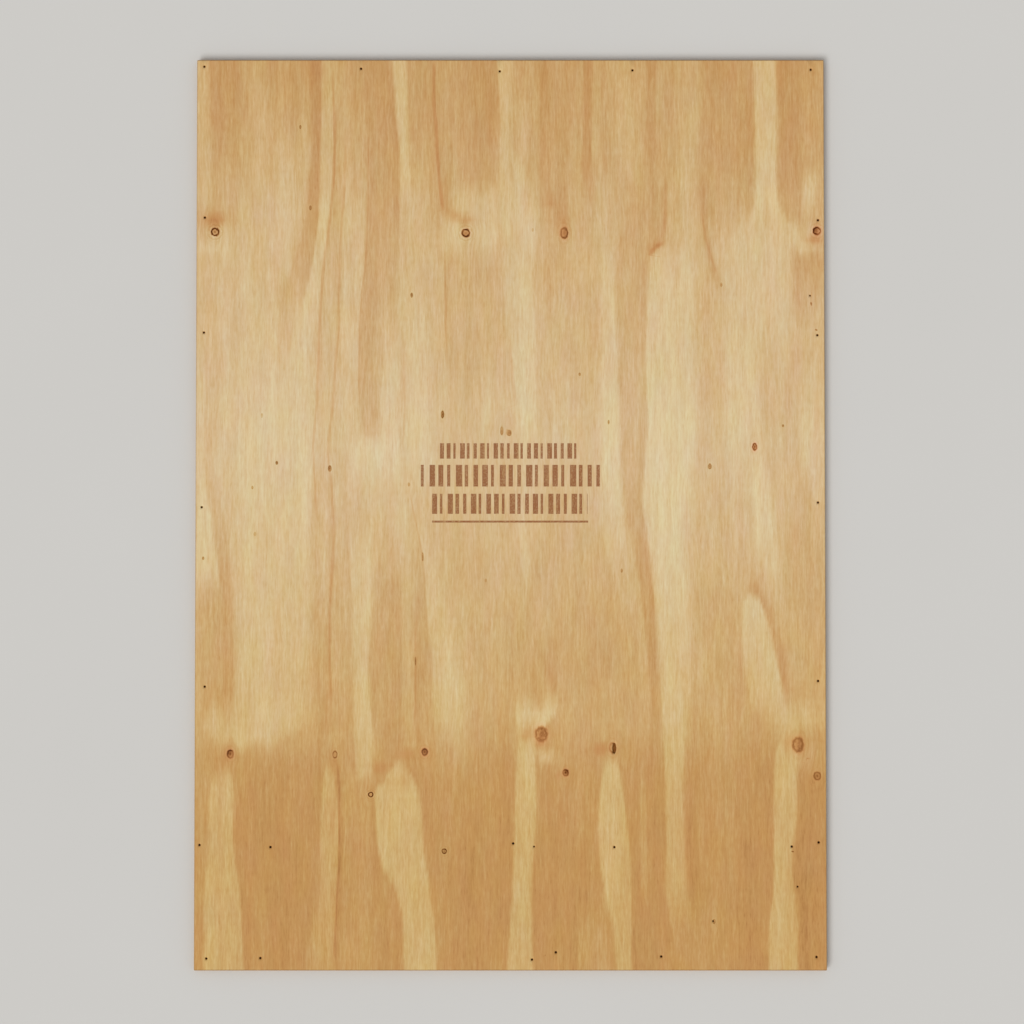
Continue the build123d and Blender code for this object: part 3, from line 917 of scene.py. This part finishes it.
def veneer_finish(name, ink=False):
    """Peeled softwood: the figure's tone, fibres and pores along the flow, knots, and grime at the rim,
    with painted shadow along the two ends.
    """
    finish = new_finish(name)
    x, y, _ = finish.place()
    flow = finish.attribute("flow")
    tone = finish.attribute("tone")
    grain = {}
    for layer, (wide, long, place, detail, roughness, strength) in grain_layers.items():
        grain[layer] = finish.noise(flow / wide, y / long, place, detail, roughness)
        tone = tone + grain[layer] * strength
    fibre, thread, hair = grain["fibre"], grain["thread"], grain["hair"]
    mottle = finish.noise(x / 5.0, y / 6.0, 6.1, detail=2.0)
    pore = finish.noise(flow / 0.7, y / 16, 2.9).step(0.32, 0.55)
    tone = tone - pore * pore_depth

    # Growth lines
    gap = abs(finish.attribute("line_gap") + thread * 0.4)
    line = (1 - gap.step(0.1, 1.2)) * finish.attribute("line_depth")
    tone = tone - line

    # Knots and pin knots: a dark rim, a brown core with rings, a dark pith and faint whorls round them
    offset_x, offset_y, gate = finish.parts(finish.attribute("spot_at", "Vector"))
    rim_dark, core_brown, pith_dark = finish.parts(finish.attribute("spot_look", "Vector"))
    darker = finish.attribute("spot_darker")
    blotch = finish.noise(x / 7.0, y / 8.0, 3.8, detail=1.0)
    reach = (offset_x * offset_x + offset_y * offset_y) ** 0.5 + mottle * 0.22 + blotch * 0.10
    inside = (1 - reach.step(0.80, 1.10)) * gate
    rim = reach.step(0.50, 0.82) * (1 - reach.step(0.92, 1.18)) * gate * (1 + blotch * 0.7)
    pith = (1 - reach.step(0.05, 0.50)) * gate
    rings = (reach * 11 + mottle * 2).sine()
    knot = rim * rim_dark * (112 + darker * 50) + pith * pith_dark * 70
    knot = knot + inside * (core_brown * (46 + mottle * 34 + rings * 7) + darker.at_least(-0.3) * 60)
    whorl = (1 - reach.step(1.1, 3.2)) * reach.step(0.95, 1.25) * gate * rim_dark
    knot = knot + whorl * ((reach * 8 + mottle * 2).sine() * 10 + mottle * 10 + 6)
    tone = tone - knot

    # Dark crushed wood round the nail holes
    nail_x, nail_y, nail_gate = finish.parts(finish.attribute("nail_at", "Vector"))
    nail_reach = (nail_x * nail_x + nail_y * nail_y) ** 0.5 + mottle * 0.25
    stain = (1 - nail_reach.step(0.9, 1.6)) * nail_gate
    tone = tone - stain * nail_stain

    # Wood colour, pinker or yellower in patches
    hue_pink, hue_yellow, _ = finish.parts(finish.attribute("hue", "Vector"))
    pink = hue_pink + finish.noise(flow / 24.0, y / 100, 7.7, detail=1.0) * 4.5 + line * 0.25
    pink = pink + (1 - reach.step(0.8, 1.8)) * gate * core_brown * finish.attribute("spot_red")
    yellow = hue_yellow + finish.noise(flow / 30.0, y / 75, 3.6, detail=1.0) * 6
    tint = finish.vector(1 + pink * 0.0054 + yellow * 0.0036, 1 - pink * 0.0065 + yellow * 0.0043,
                         1 - yellow * 0.0125)
    colour = finish.node("ShaderNodeVectorMath", {"operation": "MULTIPLY"}, {0: finish.wood(tone), 1: tint})
    colour = finish.mix(finish.attribute("red") * (0.45 + thread * 0.4), colour, knot_red)

    # Grime rubbed in along the outer rim, most at the two ends, where the darker line is partly grime and
    # partly painted shadow along the edge
    side_gap = half_width / MM - abs(x)
    end_gap = half_length / MM - abs(y)
    rim_grime_and_shade = (1 - (side_gap + mottle * 0.6).step(0.4, 2.2)) * side_dirt
    rim_grime_and_shade = rim_grime_and_shade.at_least((1 - (end_gap + mottle * 0.5).step(0.6, 2.4)) * end_grime_and_shade)
    colour = finish.mix(rim_grime_and_shade, colour, dirt_and_shade_brown)

    if ink:
        colour = ink_mark(finish, colour, x, y, fibre, thread)

    height = fibre * 0.6 + thread * 0.4 + hair * 0.35 - pore * 0.7
    return finish.close(colour, 0.62 + thread * 0.06, height, 0.10 * MM, 0.06)


def ink_mark(finish, colour, x, y, fibre, thread):
    """A generic worn ink mark: three rows of plain upright bars of differing widths over a ruled line."""
    down = half_length / MM - y
    across = x + half_width / MM
    ink = None
    for left, right, top, foot, pitch in ink_rows:
        row = across.step(left - ink_blur, left + ink_blur)
        row = row * (1 - across.step(right - ink_blur, right + ink_blur))
        row = row * down.step(top - ink_blur, top + ink_blur)
        row = row * (1 - down.step(foot - ink_blur, foot + ink_blur))
        if pitch:
            bar = (across - left) / pitch
            width = (bar.floor() * 2.4 + pitch).sine() * 0.20 + 0.52
            row = row * (1 - (bar.remainder(1.0) - width).step(-0.02, 0.04))
        ink = row if ink is None else ink.at_least(row)
    speckle = finish.noise(x / 2.0, y / 3.0, 8.8, detail=2.0)
    worn = (speckle + fibre * 0.4 + thread * 0.3).step(-0.75, 0.25)
    return finish.mix(ink * (0.45 + worn * 0.45), colour, ink_brown)


def edge_finish(name):
    """The sawn edge: plies by height, end grain and long grain by turns, glue lines, checks, and gaps
    painted dark as the shade inside them.
    """
    finish = new_finish(name)
    x, y, z = finish.place()
    run = x + y
    side = abs(x).above(half_width / MM - 1.0)
    layer = z / (ply / MM)
    number = layer.floor().at_least(0).at_most(ply_count - 1)
    even = 1 - number.remainder(2.0)
    end_grain = side + even - side * even * 2

    # Long grain is streaked along the edge, end grain is darker, dotted and ringed
    wave = finish.noise(run / 75, number * 3.1, 2.0, detail=2.0)
    streak = finish.noise(run / 42, z / 0.22 + number * 5.3, 3.0, detail=2.0)
    hair = finish.noise(run / 9, z / 0.10, 6.0, detail=1.0)
    speck = finish.noise(run / 0.45, z / 0.32, 5.0, detail=2.0)
    ring = (z / 0.16 + finish.noise(run / 22, number * 4.7, 8.0, detail=1.0) * 9).sine()
    check = finish.noise((run + z * 1.4) / 0.8, z / 3.0 + number * 7.0, 1.0).step(0.50, 0.62)
    tone = 170 + wave * 14 + (number * 2.1).sine() * 4 + (streak * 12 + hair * 6) * (1 - end_grain)
    colour = finish.wood(tone + end_grain * (speck * 10 + ring * 4 - 15 - check * 34))

    # Glue lines, with a little glue squeezed out along them
    glue_gap = abs((layer + 0.5).floor() - layer) * (ply / MM)
    inner = (layer - 0.5).above(0.0) * (ply_count - 0.5 - layer).above(0.0)
    squeeze = finish.noise(run / 7, number * 2.9, 4.0, detail=2.0)
    glue = (1 - (glue_gap + speck * 0.06 - squeeze * 0.10).step(0.06, 0.34)) * inner
    colour = finish.mix(glue * 0.85, colour, glue_brown)

    # Gaps where two strips of an inner ply don't meet, painted near black as the shade inside the void
    inner_ply = (number - 0.5).above(0.0) * (ply_count - 1.5 - number).above(0.0)
    gap = (finish.noise(run / 40, number * 9.7, 6.0) + speck * 0.02).step(0.52, 0.56) * inner_ply
    colour = finish.mix(gap * 0.85, colour, gap_shade_dark)

    # Grime in broad patches and along the two worn corners
    grime = finish.noise(run / 140, z / 14, 9.0, detail=3.0)
    colour = finish.mix(grime.step(-0.1, 0.8) * 0.30, colour, dirt_and_shade_brown)
    rim = z.at_most(thickness / MM - z).step(0.3, 1.4)
    colour = finish.mix((1 - rim) * 0.30, colour, dirt_and_shade_brown)

    saw = finish.noise(run / 1.8 + z * 0.15, z / 60, 4.0, detail=1.0)
    height = saw * 0.35 + (streak * 0.3 + hair * 0.2) * (1 - end_grain) + (speck * 0.3 - check) * end_grain
    return finish.close(colour, 0.72 + end_grain * 0.1, height - glue * 0.8 - gap * 3.0, 0.22 * MM, 0.10)


def inner_finish(name, tone, dark):
    """Veneer that shows only inside a hole: streaked along X, and darkened by glue and grime on a glued
    side, and by painted shade on the wall of a nail hole.
    """
    finish = new_finish(name)
    x, y, z = finish.place()
    streak = finish.noise(x / 26, y / 1.8 + z / 0.7, 3.3, detail=2.0)
    patch = finish.noise(x / 4, y / 4, 1.2, detail=2.0)
    colour = finish.mix(patch.step(-0.6, 0.7) * 0.3 + dark, finish.wood(streak * 9 + tone), glue_and_hole_shade_brown)
    return finish.close(colour, 0.75 + patch * 0.1, streak, 0.1 * MM, 0.05)


face_material = veneer_finish("face veneer", ink=True)
back_material = veneer_finish("back veneer")
edge_material = edge_finish("sawn edge")
glued_material = inner_finish("glued side", 140.0, 0.70)
# A nail hole's wall is darkened by painted shade, as the deep narrow hole is dark
hole_material = inner_finish("nail hole wall", 150.0, 0.45)

# The three layers of the sheet, split at its outer glue lines
knot_openings = openings(True)
through_openings = openings(False)
glue_lines = [number * ply for number in range(ply_count + 1)]
upper_split = ply_count - 1
lower_split = 1
outer_layout = {"edge_rows": 8, "holes": (0.026, 0.034), "edge": (0.038, 0.10)}
shown_strip = (0.105, 0.997)
glued_strip = (0.003, 0.022)

face_veneer = veneer_layer(
    "face_veneer",
    [(arris, thickness), (0.0, thickness - arris), (0.0, glue_lines[upper_split] + groove),
     (groove, glue_lines[upper_split])],
    (fine_per_column, 1), [face_material, edge_material, glued_material, hole_material], knot_openings,
    {**outer_layout, "top": shown_strip, "foot": glued_strip})

core_profile = [(groove, glue_lines[upper_split])]
for number in range(upper_split, lower_split, -1):
    core_profile += [(0.0, glue_lines[number] - groove), (0.0, glue_lines[number - 1] + groove),
                     (groove, glue_lines[number - 1])]
veneer_layer(
    "core_veneers", core_profile,
    (1, 1), [glued_material, edge_material, glued_material, hole_material], through_openings,
    {"edge_rows": 16, "edge": (0.16, 0.997), "holes": (0.135, 0.155),
     "top": (0.07, 0.13), "foot": (0.003, 0.065)})

back_veneer = veneer_layer(
    "back_veneer",
    [(groove, glue_lines[lower_split]), (0.0, glue_lines[lower_split] - groove),
     (0.0, arris), (arris, 0.0)],
    (1, fine_per_column), [glued_material, edge_material, back_material, hole_material], through_openings,
    {**outer_layout, "top": glued_strip, "foot": shown_strip})


def dress(piece, figure_of, spots, redness, lines, patches):
    """Works out the figure at the piece's corners and keeps it there for the finishes to read."""
    corners = np.empty(len(piece.data.vertices) * 3, np.float32)
    piece.data.vertices.foreach_get("co", corners)
    x, y, _ = corners.reshape(-1, 3).astype(float).T
    across, down = (x + half_width) / MM, (half_length - y) / MM
    tone, hue = figure_of(across, down)
    spot_at, spot_look, spot_darker, chosen = nearest(spots, across, down)
    gap, depth = line_gap(lines, across, down)
    red = np.zeros_like(across)
    for patch in patches:
        reach = np.hypot((across - patch[0]) / patch[2], (down - patch[1]) / patch[3])
        red = np.maximum(red, patch[4] * (1 - soft_step(reach - 0.8, 0.6)))
    nails = [((hole[0] + half_width) / MM, (half_length - hole[1]) / MM, hole[2] / MM, hole[3] / MM,
              0, 0, 0, 0, 0) for hole in through_openings]
    kept = {"tone": tone + halos(spots, across, down), "hue": hue, "flow": flow_round(spots, across, down),
            "spot_at": spot_at, "spot_look": spot_look, "spot_darker": spot_darker,
            "spot_red": np.array(redness)[chosen], "line_gap": gap, "line_depth": depth, "red": red,
            "nail_at": nearest(nails, across, down)[0]}
    for name, values in kept.items():
        kind, key = ("FLOAT", "value") if values.ndim == 1 else ("FLOAT_VECTOR", "vector")
        attribute = piece.data.attributes.new(name, kind, "POINT")
        attribute.data.foreach_set(key, values.astype(np.float32).ravel())


face_redness = [knot_redness] * len(knots) + [pin_redness] * len(pin_knots)
dress(face_veneer, face_tone, knots + pin_knots, face_redness, growth_lines, red_patches)
dress(back_veneer, back_tone, back_knots, [knot_redness] * len(back_knots), [], [])

# Floor, light and camera
floor_grey = srgb(205, 203, 199)
floor_pale = srgb(207, 205, 201)
backdrop_grey = srgb(214, 213, 211)


def floor_finish():
    """A plain pale floor, hardly mottled."""
    finish = new_finish("pale floor")
    x, y, _ = finish.place()
    mottle = finish.noise(x / 300, y / 300, 0.5, detail=2.0)
    colour = finish.mix(0.5 + mottle * 0.5, floor_grey, floor_pale)
    return finish.close(colour, 0.8 + mottle * 0.02, mottle, 0.01 * MM, 0.1)


floor_reach = 12.0
floor_drop = 0.2 * MM
corners = [(x * floor_reach, y * floor_reach, -floor_drop) for x, y in ((-1, -1), (1, -1), (1, 1), (-1, 1))]
floor_mesh = bpy.data.meshes.new("floor")
floor_mesh.from_pydata(corners, [], [(0, 1, 2, 3)])
floor_mesh.materials.append(floor_finish())
floor = new_object("floor", floor_mesh)

# The world lights the object evenly, and the camera sees it as a plain pale grey
sky_strength = 0.64
sun_strength = 1.855
sun_softness = 35
sun_tilts = (28, -24, 0)
sky = Finish(bpy.data.worlds.new("studio"))
lit = sky.node("ShaderNodeBackground", sockets={"Strength": sky_strength})
seen = sky.node("ShaderNodeBackground", sockets={"Color": backdrop_grey})
seen_by_camera = sky.node("ShaderNodeLightPath", out="Is Camera Ray")
surface = sky.node("ShaderNodeMixShader", sockets={0: seen_by_camera, 1: lit, 2: seen})
sky.node("ShaderNodeOutputWorld", sockets={"Surface": surface})
bpy.context.scene.world = sky.owner

sun_data = bpy.data.lights.new("soft key", "SUN")
sun_data.energy = sun_strength
sun_data.angle = math.radians(sun_softness)
sun = new_object("soft key", sun_data)
sun.rotation_euler = [math.radians(tilt) for tilt in sun_tilts]

camera_distance = 6.0
lean_sine = 0.03694
camera_lean = math.asin(lean_sine)
focal_px = 3099.0
picture_px = 1024
sensor_mm = 36.0
aim_x = 3.1 * MM
aim_y = 1.6 * MM
camera_data = bpy.data.cameras.new("camera")
camera_data.sensor_width = sensor_mm
camera_data.lens = sensor_mm * focal_px / picture_px
camera = new_object("camera", camera_data)
camera.location = (aim_x, aim_y - camera_distance * math.sin(camera_lean),
                   thickness + camera_distance * math.cos(camera_lean))
camera.rotation_euler = (camera_lean, 0, 0)
bpy.context.scene.camera = camera
bpy.context.scene.view_settings.view_transform = "Standard"
